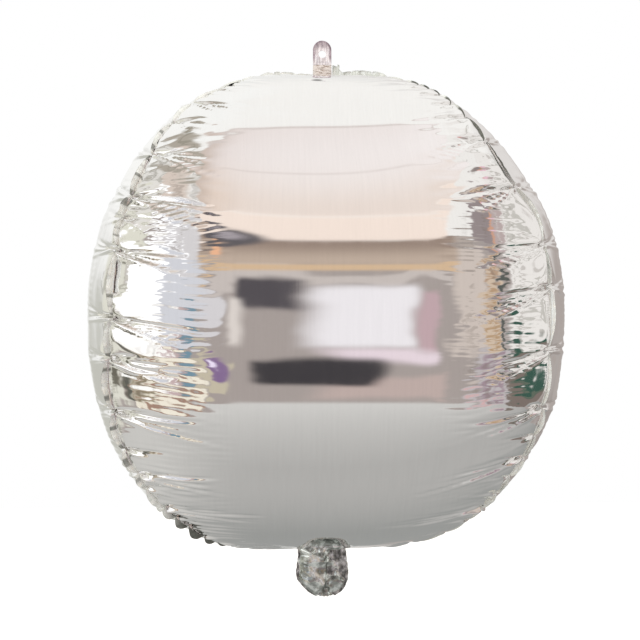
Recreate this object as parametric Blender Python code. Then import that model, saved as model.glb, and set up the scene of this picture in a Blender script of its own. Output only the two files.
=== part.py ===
"""Silver foil balloon, a four-panel orb about 55 cm wide, with a hang tab and an inflation tail.

Metres, +Z up, front towards -Y. The origin is the centre of the envelope at its widest level.
Four film panels (gores) meet along four seams that lie on the diagonals, so each gore is a
broad, nearly flat-sided lune. Film is drawn thicker than it really is, so that it is solid.
"""
import math

import bmesh
import bpy
import numpy as np

# Envelope
HALF_WIDTH = 0.275
TOP_HEIGHT = 0.298
BOTTOM_DEPTH = 0.2915
SEAM_REACH = 0.2305
FILM = 0.0015
GAP = 0.0003

# Meridians: exponent of the superellipse above and below the widest level
CENTRE_POWERS = (2.11, 2.29)
SEAM_POWERS = (2.2, 2.5)

# Share of the way from a gore's centre to its seam, raised to this power, bends the section
SECTION_POWER = 4.5
LIFT_POWER = 2.9

# Seam flange
SEAM_THICKNESS = 0.0012
FLANGE_WIDTH = 0.006

# Holes that the gores leave round the poles, half of each side
TOP_HOLE = 0.0125
TAIL_HOLE = 0.026

# Mesh fineness
GORE_ROWS = 30
GORE_COLUMNS = 12
CURVE_STEPS = 600

# Hang tab
TAB_WIDTH = 0.024
TAB_FOLD_Z = 0.3227
TAB_TOP_Z = 0.354
TAB_BEAD = 0.0009
HOLE_RADIUS = 0.005
HOLE_Z = 0.3357

# Tail
TAIL_FOLD_Z = -0.303
TAIL_BEAD = 0.0012
TAIL_FILM = 0.0012
TAIL_SEAL = 0.003
TAIL_FLAT_SHARE = 0.26
TAIL_COLUMNS = 12

# Depth under the fold, half width, bulge of one ply
TAIL_ROWS = (
    (0.0000, 0.0290, 0.0012),
    (0.0060, 0.0295, 0.0024),
    (0.0160, 0.0315, 0.0056),
    (0.0300, 0.0330, 0.0076),
    (0.0430, 0.0322, 0.0076),
    (0.0540, 0.0272, 0.0066),
    (0.0610, 0.0195, 0.0054),
    (0.0655, 0.0125, 0.0047),
)

MATERIALS = {
    "foil": ((0.86, 0.85, 0.84), 0.08, 1.0),
    "tail_foil": ((0.62, 0.62, 0.61), 0.2, 1.0),
    "clear_film": ((0.86, 0.80, 0.79), 0.15, 0.0),
}


def clear_scene():
    for item in list(bpy.data.objects):
        bpy.data.objects.remove(item, do_unlink=True)


def material(name):
    colour, roughness, metallic = MATERIALS[name]
    mat = bpy.data.materials.get(name) or bpy.data.materials.new(name)
    mat.use_nodes = True
    shader = mat.node_tree.nodes["Principled BSDF"]
    shader.inputs["Base Color"].default_value = (*colour, 1.0)
    shader.inputs["Roughness"].default_value = roughness
    shader.inputs["Metallic"].default_value = metallic
    return mat


def add_object(name, mesh, finish, parent=None, turn=0.0):
    item = bpy.data.objects.new(name, mesh)
    bpy.context.collection.objects.link(item)
    item.parent = parent
    item.rotation_euler = (0.0, 0.0, turn)
    if not mesh.materials:
        mesh.materials.append(material(finish))
    return item


def add_empty(name, height, parent=None):
    item = bpy.data.objects.new(name, None)
    bpy.context.collection.objects.link(item)
    item.parent = parent
    item.location = (0.0, 0.0, height)
    return item


def close_grid(name, outer, inner, sharp_degrees=40.0):
    """One closed solid between two grids of points of the same size."""
    rows, columns = outer.shape[:2]
    bm = bmesh.new()
    front = [[bm.verts.new(point) for point in row] for row in outer.tolist()]
    back = [[bm.verts.new(point) for point in row] for row in inner.tolist()]
    for i in range(rows - 1):
        for j in range(columns - 1):
            bm.faces.new((front[i][j], front[i][j + 1], front[i + 1][j + 1], front[i + 1][j]))
            bm.faces.new((back[i][j], back[i + 1][j], back[i + 1][j + 1], back[i][j + 1]))
    for j in range(columns - 1):
        bm.faces.new((front[0][j], back[0][j], back[0][j + 1], front[0][j + 1]))
        bm.faces.new((front[-1][j], front[-1][j + 1], back[-1][j + 1], back[-1][j]))
    for i in range(rows - 1):
        bm.faces.new((front[i][0], front[i + 1][0], back[i + 1][0], back[i][0]))
        bm.faces.new((front[i][-1], back[i][-1], back[i + 1][-1], front[i + 1][-1]))
    return finish_mesh(name, bm, sharp_degrees)


def finish_mesh(name, bm, sharp_degrees):
    bmesh.ops.recalc_face_normals(bm, faces=bm.faces)
    mesh = bpy.data.meshes.new(name)
    bm.to_mesh(mesh)
    bm.free()
    mesh.shade_smooth()
    mesh.set_sharp_from_angle(angle=math.radians(sharp_degrees))
    return mesh


def meridian(reach, powers, shrink=0.0, trims=(TOP_HOLE, TAIL_HOLE), rows=GORE_ROWS):
    """Distance from the axis and height along one meridian, evenly spaced, between the holes."""
    angle = np.linspace(0.0, math.pi, CURVE_STEPS)
    upper = np.cos(angle) > 0.0
    power = np.where(upper, powers[0], powers[1])
    rise = np.where(upper, TOP_HEIGHT - shrink, BOTTOM_DEPTH - shrink)
    out = (reach - shrink) * np.sin(angle) ** (2.0 / power)
    height = rise * np.sign(np.cos(angle)) * np.abs(np.cos(angle)) ** (2.0 / power)
    widest = int(np.argmax(out))
    first = np.interp(trims[0], out[:widest], np.arange(widest))
    last = np.interp(-trims[1], -out[widest:], np.arange(widest, CURVE_STEPS))
    steps = np.concatenate([[first], np.arange(math.ceil(first), math.floor(last) + 1), [last]])
    out = np.interp(steps, np.arange(CURVE_STEPS), out)
    height = np.interp(steps, np.arange(CURVE_STEPS), height)
    length = np.concatenate([[0.0], np.cumsum(np.hypot(np.diff(out), np.diff(height)))])
    even = np.linspace(0.0, length[-1], rows + 1)
    return np.interp(even, length, out), np.interp(even, length, height)


def gore_surface(shrink):
    """Grid of points on the front gore: rows run down the meridian, columns across."""
    centre_out, centre_z = meridian(HALF_WIDTH, CENTRE_POWERS, shrink)
    seam_out, seam_z = meridian(SEAM_REACH, SEAM_POWERS, shrink)
    share = np.sin(0.5 * math.pi * np.linspace(-1.0, 1.0, GORE_COLUMNS + 1))
    bend = np.abs(share) ** SECTION_POWER
    lift = np.abs(share) ** LIFT_POWER
    relief = math.sqrt(2.0) * (0.5 * SEAM_THICKNESS + GAP)
    x = (seam_out - relief)[:, None] * share
    y = -(centre_out[:, None] + (seam_out - centre_out)[:, None] * bend)
    z = centre_z[:, None] + (seam_z - centre_z)[:, None] * lift
    return np.stack([x, y, z], axis=-1)


def make_gores(root):
    mesh = close_grid("gore", gore_surface(0.0), gore_surface(FILM))
    for name, quarter in (("gore_front", 0), ("gore_right", 1), ("gore_back", 2), ("gore_left", 3)):
        add_object(name, mesh, "foil", root, quarter * 0.5 * math.pi)


def make_seams(root):
    """Flat flanges that stand out between the gores, drawn in the XZ plane and turned."""
    corner = math.sqrt(2.0)
    out, z = meridian(SEAM_REACH, SEAM_POWERS)
    inner_out, inner_z = meridian(SEAM_REACH, SEAM_POWERS, FILM)
    out = out * corner
    inner_out = inner_out * corner
    normal = np.stack([-np.gradient(z), np.gradient(out)], axis=-1)
    normal /= np.linalg.norm(normal, axis=1)[:, None]
    rim_out = out + FLANGE_WIDTH * normal[:, 0]
    rim_z = z + FLANGE_WIDTH * normal[:, 1]
    rim_out[0] = out[0]
    rim_out[-1] = out[-1]
    half = 0.5 * SEAM_THICKNESS
    sides = []
    for y in (-half, half):
        inner_edge = np.stack([inner_out, np.full_like(z, y), inner_z], axis=-1)
        rim_edge = np.stack([rim_out, np.full_like(z, y), rim_z], axis=-1)
        sides.append(np.stack([inner_edge, rim_edge], axis=1))
    mesh = close_grid("seam", sides[0], sides[1])
    names = ("seam_front_right", "seam_back_right", "seam_back_left", "seam_front_left")
    for place, name in enumerate(names):
        add_object(name, mesh, "foil", root, (2 * place - 1) * 0.25 * math.pi)


def loft_block(name, levels):
    """Closed block through rectangles, each given as height, half width and half depth."""
    bm = bmesh.new()
    rings = []
    for z, half_x, half_y in levels:
        corners = ((-half_x, -half_y), (half_x, -half_y), (half_x, half_y), (-half_x, half_y))
        rings.append([bm.verts.new((x, y, z)) for x, y in corners])
    for low, high in zip(rings, rings[1:]):
        for k in range(4):
            n = (k + 1) % 4
            bm.faces.new((low[k], low[n], high[n], high[k]))
    bm.faces.new(rings[0])
    bm.faces.new(rings[-1])
    return finish_mesh(name, bm, 25.0)


def make_top_gather(root):
    """Folded ends of the four seams, a block that closes the top hole and carries the tab."""
    half = TOP_HOLE - GAP
    seat = TAB_FOLD_Z - TAB_BEAD - GAP
    levels = (
        (TOP_HEIGHT - 2.0 * FILM, half, half),
        (TOP_HEIGHT + FILM, half, half),
        (0.5 * (TOP_HEIGHT + seat), 0.5 * TAB_WIDTH, 0.5 * half),
        (seat, 0.5 * TAB_WIDTH, 2.0 * TAB_BEAD),
    )
    add_object("top_gather", loft_block("top_gather", levels), "clear_film", root)


def make_tail_neck(root):
    """Gathered film that closes the bottom hole and flattens towards the tail's fold."""
    half = TAIL_HOLE - GAP
    seat = TAIL_FOLD_Z + TAIL_BEAD + 1.5 * GAP
    width = TAIL_ROWS[0][1]
    levels = (
        (-BOTTOM_DEPTH + 2.0 * FILM, half, half),
        (-BOTTOM_DEPTH - 0.5 * FILM, half, half),
        (0.5 * (seat - BOTTOM_DEPTH - 0.5 * FILM), width, 0.5 * half),
        (seat, width, 2.0 * TAIL_BEAD),
    )
    add_object("tail_neck", loft_block("tail_neck", levels), "tail_foil", root)


def cylinder(name, radius, length, turn, place, sides):
    bm = bmesh.new()
    bmesh.ops.create_cone(
        bm, cap_ends=True, segments=sides, radius1=radius, radius2=radius, depth=length
    )
    mesh = finish_mesh(name, bm, 60.0)
    item = bpy.data.objects.new(name, mesh)
    bpy.context.collection.objects.link(item)
    item.rotation_euler = turn
    item.location = place
    item.hide_render = True
    item.display_type = "WIRE"
    return item


def make_tab(fold):
    """Flat film tab with a round top and a punched hole, on a bead at its fold."""
    radius = 0.5 * TAB_WIDTH
    rise = TAB_TOP_Z - TAB_FOLD_Z - radius
    outline = [(-radius, 0.0), (radius, 0.0)]
    for step in range(17):
        angle = math.pi * step / 16
        outline.append((radius * math.cos(angle), rise + radius * math.sin(angle)))
    bm = bmesh.new()
    half = 0.5 * FILM
    ring = [bm.verts.new((x, -half, z)) for x, z in outline]
    face = bm.faces.new(ring)
    grown = bmesh.ops.extrude_face_region(bm, geom=[face])["geom"]
    moved = [part for part in grown if isinstance(part, bmesh.types.BMVert)]
    bmesh.ops.translate(bm, verts=moved, vec=(0.0, FILM, 0.0))
    tab = add_object("hang_tab", finish_mesh("hang_tab", bm, 40.0), "clear_film", fold)
    across = (0.0, 0.5 * math.pi, 0.0)
    through = (0.5 * math.pi, 0.0, 0.0)
    bead = cylinder("tab_bead", TAB_BEAD, TAB_WIDTH, across, (0.0, 0.0, 0.0), 12)
    hole = cylinder("tab_hole", HOLE_RADIUS, 10.0 * FILM, through, (0.0, 0.0, HOLE_Z - TAB_FOLD_Z), 24)
    for tool, operation in ((bead, "UNION"), (hole, "DIFFERENCE")):
        tool.parent = fold
        cut = tab.modifiers.new(tool.name, "BOOLEAN")
        cut.operation = operation
        cut.object = tool
    return tab


def tail_profile():
    """Depth, half width, outer bulge and inner bulge of one ply, with a round top at the fold."""
    first_width = TAIL_ROWS[0][1]
    rows = []
    for step in range(4):
        angle = math.radians(75.0) * (1.0 - step / 4)
        bulge = TAIL_BEAD * math.cos(angle)
        rows.append((-TAIL_BEAD * math.sin(angle), first_width, bulge, 0.0))
    for depth, half_width, bulge in TAIL_ROWS:
        rows.append((depth, half_width, bulge, max(bulge - TAIL_FILM, 0.0)))
    return rows


def make_tail(fold):
    """Two plies of film, sealed along both edges and open at the foot for the inflation straw."""
    share = np.sin(0.5 * math.pi * np.linspace(-1.0, 1.0, TAIL_COLUMNS + 1))
    edge = np.clip((np.abs(share) - TAIL_FLAT_SHARE) / (1.0 - TAIL_FLAT_SHARE), 0.0, 1.0)
    swell = np.sqrt(1.0 - edge ** 2)
    outer = []
    inner = []
    for depth, half_width, bulge, hollow in tail_profile():
        z = np.full_like(share, -depth)
        outer.append(np.stack([half_width * share, -0.5 * GAP - bulge * swell, z], axis=-1))
        inside = (half_width - TAIL_SEAL) * share
        inner.append(np.stack([inside, -0.5 * GAP - hollow * swell, z], axis=-1))
    mesh = close_grid("tail_ply", np.array(outer), np.array(inner))
    add_object("tail_front_ply", mesh, "tail_foil", fold)
    add_object("tail_back_ply", mesh, "tail_foil", fold, math.pi)


def main():
    clear_scene()
    envelope = add_empty("envelope", 0.0)
    make_gores(envelope)
    make_seams(envelope)
    make_top_gather(envelope)
    make_tail_neck(envelope)
    make_tab(add_empty("tab_fold", TAB_FOLD_Z, envelope))
    make_tail(add_empty("tail_fold", TAIL_FOLD_Z, envelope))


main()
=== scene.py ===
"""Looks of the silver foil balloon: puckered mirror film, ruffled seams, hang tab and crumpled tail.

Metres, +Z up, front towards -Y, in the frame's own axes. The film's panels are computed from the
envelope's outline, drawn in by notches along the seams, and then settled as film that can't stretch.
"""
import math

import bpy
import numpy as np
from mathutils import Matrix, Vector


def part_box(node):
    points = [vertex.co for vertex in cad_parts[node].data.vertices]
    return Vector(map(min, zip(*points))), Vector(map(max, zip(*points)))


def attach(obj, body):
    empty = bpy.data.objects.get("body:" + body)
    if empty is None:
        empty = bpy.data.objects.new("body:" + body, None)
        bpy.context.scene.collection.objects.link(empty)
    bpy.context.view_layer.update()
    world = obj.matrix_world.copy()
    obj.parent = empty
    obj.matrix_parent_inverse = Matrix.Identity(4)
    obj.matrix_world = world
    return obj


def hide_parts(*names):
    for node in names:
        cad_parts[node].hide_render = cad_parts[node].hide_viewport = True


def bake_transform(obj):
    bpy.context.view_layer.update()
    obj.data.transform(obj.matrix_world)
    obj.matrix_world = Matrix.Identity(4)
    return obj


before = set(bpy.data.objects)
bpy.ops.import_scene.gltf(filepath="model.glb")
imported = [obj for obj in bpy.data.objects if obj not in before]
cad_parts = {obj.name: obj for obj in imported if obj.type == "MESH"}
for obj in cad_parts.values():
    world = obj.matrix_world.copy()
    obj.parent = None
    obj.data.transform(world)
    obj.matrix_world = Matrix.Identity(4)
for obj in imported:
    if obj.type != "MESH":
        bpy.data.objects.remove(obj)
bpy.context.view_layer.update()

# Envelope, from the frame, with the outline's shares of the half width
HALF_WIDTH = -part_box("gore_front")[0].y
TOP_HEIGHT = 1.0836 * HALF_WIDTH
BOTTOM_DEPTH = 1.06 * HALF_WIDTH
SEAM_REACH = 0.8382 * HALF_WIDTH
TOP_HOLE = 0.0125
TAIL_HOLE = 0.026
CENTRE_POWERS = (2.11, 2.29)
SEAM_POWERS = (2.2, 2.5)
SECTION_POWER = 4.5
LIFT_POWER = 2.9
QUARTERS = ("front", "right", "back", "left")
SEAM_NAMES = ("front_left", "front_right", "back_right", "back_left")
FRONT_LEFT = 0
FRONT_RIGHT = 1

# Film grid
ROWS = 800
COLUMNS = 48
CURVE_STEPS = 2000
SEED = 7

# Notches along the two front seams, as heights in millimetres, read from the photograph
MILLIMETRE = 0.001
FRONT_NOTCHES = (
    (291, 284, 273, 256, 234, 208, 169, 122, 100, 67, -3, -46,
     -102, -143, -169, -186, -210, -223, -236, -252, -263, -271, -278, -285),
    (291, 285, 277, 268, 259, 248, 234, 215, 185, 134, 74, 28,
     -38, -99, -131, -156, -179, -199, -218, -236, -256, -274, -285),
)
# Those of them with a deep fold, and how deep the others are beside these
MAIN_NOTCHES = (
    (234, 169, 122, 67, -3, -46, -102, -169, -210),
    (185, 134, 74, 28, -38, -99, -156, -218),
)
MINOR_SHARES = (0.45, 0.3)
MAIN_SHARE = 1.4
NOTCH_ANGLE = math.radians(62)
NOTCH_ROUNDING = 0.0009
PUFF_BOW = 0.14
SWAY_WAVES = (0.31, 0.17, 0.09)

# Folds at the notches, and long thin creases
FOLD_DEPTH = 0.0052
FOLD_REACH = (0.075, 0.12)
FOLD_SPREAD = (0.08, 0.22)
LINE_DEPTH = 0.0017
LINE_REACH = (0.07, 0.105)
# Fine puckers, by seam: their size, and their pitch low down and high up
COMB_SIZES = ((0.9, 1.5), (1.3, 1.9), (0.8, 1.3), (0.8, 1.3))
COMB_PITCH = 0.0105
COMB_PITCHES_HIGH = (0.0125, 0.0165, 0.0165, 0.0165)
# Where they start, where they begin to fade, and how much further in they end
COMB_START = (0, 0.022)
COMB_EASING = (0.074, 0.095)
COMB_FADE = (0.014, 0.03)
CALM_FROM = 0.1
CALM_TO = 0.122
# Slope of the folds on each panel at its left and right seam, and how much it grows with height
FOLD_TILTS = (
    ((0.25, 0.3), (0.3, 0.12)),
    ((-0.08, 0), (0.12, 0)),
    ((-0.15, 0), (-0.15, 0)),
    ((0.12, 0), (-0.08, 0)),
)
# How much deeper the thin creases are on each panel at its left and right seam
LINE_GAINS = ((1, 1), (1.2, 1), (1, 1), (1, 1.7))
SETTLE_STEPS = 30
PRESSURE = 0.000004
HOLD = 0.3

# Film drawn in at the tail, and the small crease below the tab
TAIL_DENT = 0.012
TAIL_SHIFT = -0.001
CREASE_DEPTH = 0.0019
CREASE_PLACE = (-0.0115, -0.125)
CREASE_REACH = 0.0085

# Both front seams swing towards the front high up: angle, its place round the axis, middle height,
# reach in height and reach round the axis
SWINGS = (
    (math.radians(5.8), -0.25 * math.pi, 0.208, 0.07, math.radians(32)),
    (math.radians(4), -0.25 * math.pi, 0.155, 0.036, math.radians(13)),
    (math.radians(-3.3), -0.75 * math.pi, 0.16, 0.062, math.radians(24)),
)
# The front right corner is slack low down
LOW_PULL = 0.023

# Seam strip, by seam, and its ripples as pitch and size
STRIP_WIDTHS = (0.0074, 0.0052, 0.0056, 0.0056)
STRIP_COLUMNS = 6
STRIP_FILM = 0.0004
STRIP_RIPPLES = ((0.027, 0.16), (0.013, 0.13), (0.007, 0.09))
FRILL_WIDTHS = (0.0063, 0.0072, 0.007, 0.006)
STRIP_NARROWING = (0.1, 0.65, 0.3, 0.3)

# Tab
TAB_WIDTH = 0.024
TAB_RIM = 0.0022
TAB_FILM = 0.0007
TAB_HOLE = 0.005

# Tail outline: depth under the fold, half width, bulge of one ply
TAIL_TOP = -0.303
TAIL_FILM = 0.0004
TAIL_STATIONS = (
    (-0.002, 0.0318, 0.0024),
    (0.004, 0.0306, 0.0036),
    (0.014, 0.0318, 0.0064),
    (0.03, 0.0336, 0.0085),
    (0.04, 0.0334, 0.0085),
    (0.048, 0.0296, 0.0074),
    (0.055, 0.0246, 0.0062),
    (0.06, 0.019, 0.005),
    (0.0628, 0.011, 0.004),
)
NECK_HALF_WIDTH = 0.0318
NECK_HALF_DEPTH = 0.0028

# Camera, set as in the photograph
CAMERA_DISTANCE = 4.2 * HALF_WIDTH
CAMERA_AZIMUTH = -2.5
PICTURE_WIDTH = 640
PIXELS_PER_HALF_WIDTH = 212
CENTRE_PIXEL = (322.2, 313.3)
FLOOR_HEIGHT = -2.2
FLOOR_REACH = 9


def smoothstep(value):
    value = np.clip(value, 0, 1)
    return value * value * (3 - 2 * value)


def between(value, low, high):
    return smoothstep((value - low) / (high - low))


def plateau(value, low, full, ease, high):
    """Rises from 0 at low to 1 at full, and falls again from ease to high."""
    return between(value, low, full) * (1 - between(value, ease, high))


def bell(*shares):
    """1 in the middle, where all shares are 0, and fading round it."""
    return np.exp(-sum(share ** 2 for share in shares))


def running(steps):
    """Running sum along the last axis, from zero."""
    start = np.zeros(steps.shape[:-1] + (1,))
    return np.concatenate([start, np.cumsum(steps, axis=-1)], axis=-1)


def xyz(x, y, z):
    return np.stack([x, y, z], axis=-1)


def powered(value, power):
    """A power of the value's size, with the value's own sign."""
    return np.sign(value) * np.abs(value) ** power


def turned(points, quarter):
    """Points of the front panel turned to another quarter."""
    x, y, z = np.moveaxis(points, -1, 0)
    for _ in range(quarter):
        x, y = -y, x
    return xyz(x, y, z)


def normals_of(grid):
    """Outward unit normals of a grid of points whose rows run down and whose columns run right."""
    across = np.cross(np.gradient(grid, axis=-3), np.gradient(grid, axis=-2))
    return across / np.maximum(np.linalg.norm(across, axis=-1, keepdims=True), 1e-12)


def meridian(reach, powers):
    """Distance from the axis and height along one meridian, evenly spaced between the two holes."""
    angle = np.linspace(0, math.pi, CURVE_STEPS)
    upper = np.cos(angle) > 0
    power = np.where(upper, *powers)
    out = reach * np.sin(angle) ** (2 / power)
    height = np.where(upper, TOP_HEIGHT, BOTTOM_DEPTH) * powered(np.cos(angle), 2 / power)
    widest = int(np.argmax(out))
    first = np.interp(TOP_HOLE, out[:widest], np.arange(widest))
    last = np.interp(-TAIL_HOLE, -out[widest:], np.arange(widest, CURVE_STEPS))
    steps = np.concatenate([[first], np.arange(math.ceil(first), math.floor(last) + 1), [last]])
    out = np.interp(steps, np.arange(CURVE_STEPS), out)
    height = np.interp(steps, np.arange(CURVE_STEPS), height)
    length = running(np.hypot(np.diff(out), np.diff(height)))
    even = np.linspace(0, length[-1], ROWS + 1)
    return np.interp(even, length, out), np.interp(even, length, height), length[-1]


class Panel:
    """The smooth front panel, and where each of its points lies on the flat film."""

    def __init__(self):
        centre_out, centre_z, length = meridian(HALF_WIDTH, CENTRE_POWERS)
        seam_out, seam_z, _ = meridian(SEAM_REACH, SEAM_POWERS)
        share = np.sin(0.5 * math.pi * np.linspace(-1, 1, COLUMNS + 1))
        y = -self.section(centre_out, seam_out, np.abs(share) ** SECTION_POWER)
        z = self.section(centre_z, seam_z, np.abs(share) ** LIFT_POWER)
        self.points = xyz(seam_out[:, None] * share, y, z)
        across = running(np.linalg.norm(np.diff(self.points, axis=1), axis=-1))
        self.across = across - 0.5 * across[:, -1:]
        self.down = np.linspace(0, length, ROWS + 1)
        self.from_left = self.across - self.across[:, :1]
        self.from_right = self.across[:, -1:] - self.across
        self.from_seam = np.minimum(self.from_left, self.from_right)
        self.along_seam = running(np.hypot(np.diff(self.down), np.diff(self.across[:, 0])))
        self.seam_out = self.points[:, 0, 1] * -math.sqrt(2)
        self.seam_z = self.points[:, 0, 2]

    @staticmethod
    def section(centre, seam, share):
        """From the centre line to the seam, row by row."""
        return centre[:, None] + (seam - centre)[:, None] * share


def seam_profile(panel, stations):
    """Place along the smooth seam and offset outwards of each row, with a V at each notch.

    The film's edge is longer than the smooth seam, and each notch takes up the spare length
    round it. Between notches the edge bows out.
    """
    flat = panel.along_seam
    smooth = running(np.hypot(np.diff(panel.seam_out), np.diff(panel.seam_z)))
    middles = np.concatenate([[0], 0.5 * (stations[1:] + stations[:-1]), [flat[-1]]])
    fine = np.linspace(0, flat[-1], 12001)
    step = fine[1] - fine[0]
    spare = np.diff(np.interp(middles, flat, flat - smooth))
    slope = np.zeros_like(fine)
    for station, low, high, length in zip(stations, middles[:-1], middles[1:], spare):
        arm = 1.05 * max(length, 0) + 0.0006
        slope[(fine > station - arm) & (fine <= station)] = -NOTCH_ANGLE
        slope[(fine > station) & (fine <= station + arm)] = NOTCH_ANGLE
        before = (fine >= low) & (fine <= station - arm)
        after = (fine >= station + arm) & (fine <= high)
        slope[before] -= PUFF_BOW * (fine[before] - low) / (station - arm - low)
        slope[after] += PUFF_BOW * (1 - (fine[after] - station - arm) / (high - station - arm))
    rounding = np.hanning(2 * int(NOTCH_ROUNDING / step) + 3)
    slope = np.convolve(slope, rounding / rounding.sum(), "same")
    along = running(np.cos(slope[1:]) * step)
    out = running(np.sin(slope[1:]) * step)
    wanted = np.interp(middles, flat, smooth)
    along += np.interp(fine, middles, wanted - np.interp(middles, fine, along))
    out -= np.interp(fine, middles, np.interp(middles, fine, out))
    return smooth, np.interp(flat, fine, along), np.interp(flat, fine, out)


class Seam:
    """One seam's line in space, with its outward and sideways directions."""

    def __init__(self, panel, heights, place, rng):
        flat = panel.along_seam
        self.flat = flat
        self.place = place
        self.stations = np.sort(np.interp(-np.asarray(heights), -panel.seam_z, flat))
        self.ends = np.concatenate([[0], self.stations, [flat[-1]]])
        # Each place's puff, and how far along it the place is, from 0 to 1
        puff = np.clip(np.searchsorted(self.ends, flat, side="right") - 1, 0, len(self.stations))
        self.puff = puff
        self.share = (flat - self.ends[puff]) / (self.ends[puff + 1] - self.ends[puff])
        self.strengths = rng.uniform(MINOR_SHARES[0], MAIN_SHARE, len(self.stations))
        if place < len(MAIN_NOTCHES):
            falling = np.sort(heights)[::-1]
            apart = np.abs(falling[:, None] - MILLIMETRE * np.array(MAIN_NOTCHES[place])).min(axis=1)
            main = apart < MILLIMETRE
            self.strengths = np.where(main, MAIN_SHARE, MINOR_SHARES[place])
            if place == FRONT_RIGHT:
                low = between(-falling, 0.13, 0.15)
                self.strengths = self.strengths * np.where(main, 1 + 0.9 * low, 1 - 0.6 * low)
        smooth, along, offset = seam_profile(panel, self.stations)
        fade = smoothstep(np.minimum(flat, flat[-1] - flat) / 0.03)
        normal_out = -np.interp(along, smooth, np.gradient(panel.seam_z, smooth))
        normal_z = np.interp(along, smooth, np.gradient(panel.seam_out, smooth))
        out = np.interp(along, smooth, panel.seam_out) + offset * fade * normal_out
        self.height = np.interp(along, smooth, panel.seam_z) + offset * fade * normal_z
        sway = np.zeros_like(flat)
        for wave in SWAY_WAVES:
            size = rng.normal(0, 0.012 * wave)
            sway += size * np.sin(2 * math.pi * (flat / wave + rng.uniform()))
        sway = sway * fade
        azimuth = (0.5 * place - 0.75) * math.pi
        cos = math.cos(azimuth)
        sin = math.sin(azimuth)
        self.points = xyz(out * cos - sway * sin, out * sin + sway * cos, self.height)
        self.outward = xyz(normal_out * cos, normal_out * sin, normal_z)
        self.sideways = np.array([-sin, cos, 0])

    def per_puff(self, limits, station, rng):
        """Each puff's own random value, changing over a few millimetres at each notch."""
        values = rng.uniform(*limits, len(self.stations) + 1)
        places = np.sort(np.concatenate([self.stations - 0.003, self.stations + 0.003]))
        return np.interp(station, places, np.repeat(values, 2)[1:-1])

    def comb_count(self, rng):
        """Number of fine puckers from the top to each notch, a whole number in each puff."""
        height = np.interp(0.5 * (self.ends[:-1] + self.ends[1:]), self.flat, self.height)
        more = (COMB_PITCHES_HIGH[self.place] - COMB_PITCH) * between(height, 0.08, 0.16)
        pitch = (COMB_PITCH + more) * rng.uniform(0.68, 1.22, len(height))
        return running(np.maximum(1, np.round(np.diff(self.ends) / pitch)))


def spread_notches(rng):
    """Heights of a hidden seam's notches, closer together towards both ends."""
    heights = []
    height = 0.29
    while height > -0.284:
        heights.append(height)
        middle = 1 - abs(height) / HALF_WIDTH
        height -= rng.uniform(0.007, 0.014) + middle * rng.uniform(0.025, 0.06)
    return heights


class Film:
    """Film on the four panels: lengths that it keeps along rows, columns and both diagonals."""

    def __init__(self, panel, seams):
        across = panel.across
        rise = np.diff(panel.down)[:, None]
        self.smooth = self.shape(*[turned(panel.points, quarter) for quarter in range(4)])
        self.down = self.shape(np.hypot(rise, np.diff(across, axis=0)))
        self.across = self.shape(np.diff(across, axis=1))
        self.falling = self.shape(np.hypot(across[1:, 1:] - across[:-1, :-1], rise))
        self.rising = self.shape(np.hypot(across[:-1, 1:] - across[1:, :-1], rise))
        self.double = self.shape(np.hypot(2 * rise[:-1], across[2:] - across[:-2]))
        self.bending = self.shape(0.01 + 0.09 * np.exp(-panel.from_seam / 0.01))
        self.edge = self.smooth.copy()
        for quarter in range(4):
            self.edge[quarter][:, 0] = seams[quarter].points
            self.edge[quarter][:, -1] = seams[(quarter + 1) % 4].points

    @staticmethod
    def shape(*grids):
        return np.stack(grids).astype(np.float32)

    def hold_edges(self, points):
        for place in (0, -1):
            points[:, :, place] = self.edge[:, :, place]
            points[:, place] = self.edge[:, place]

    @staticmethod
    def keep_length(first, second, length, share=1):
        """Moves two sets of points so that each pair comes to its length apart."""
        apart = second - first
        distance = np.sqrt(np.einsum("gijk,gijk->gij", apart, apart))
        np.maximum(distance, 1e-9, out=distance)
        apart *= ((0.5 - 0.5 * length / distance) * share)[..., None]
        first += apart
        second -= apart

    def keep_lengths(self, points):
        for odd in (0, 1):
            upper = points[:, odd:-1:2]
            lower = points[:, odd + 1::2]
            self.keep_length(upper, lower, self.down[:, odd::2])
        for odd in (0, 1):
            left = points[:, :, odd:-1:2]
            self.keep_length(left, points[:, :, odd + 1::2], self.across[:, :, odd::2])
        for odd in (0, 1):
            upper = points[:, odd:-1:2]
            lower = points[:, odd + 1::2]
            self.keep_length(upper[:, :, :-1], lower[:, :, 1:], self.falling[:, odd::2], 0.5)
            self.keep_length(lower[:, :, :-1], upper[:, :, 1:], self.rising[:, odd::2], 0.5)
        for phase in range(4):
            first = points[:, phase:-2:4]
            stiffness = self.bending[:, phase:-2:4]
            self.keep_length(first, points[:, phase + 2::4], self.double[:, phase::4], stiffness)
        self.hold_edges(points)


def outward_areas(points):
    """Outward area vector at each inner point of the film."""
    areas = np.zeros_like(points)
    across = points[:, 1:-1, 2:] - points[:, 1:-1, :-2]
    down = points[:, 2:, 1:-1] - points[:, :-2, 1:-1]
    areas[:, 1:-1, 1:-1] = np.cross(down, across)
    return areas


def blurred(values, width, axis):
    """Running mean over width places on either side, along one axis."""
    moved = np.moveaxis(values, axis, 0)
    ends = [np.repeat(moved[:1], width, 0), moved, np.repeat(moved[-1:], width, 0)]
    total = np.cumsum(np.concatenate(ends, 0), 0, dtype=np.float64)
    total = np.concatenate([np.zeros_like(total[:1]), total], 0)
    span = 2 * width + 1
    return np.moveaxis(((total[span:] - total[:-span]) / span).astype(np.float32), 0, axis)


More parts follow.
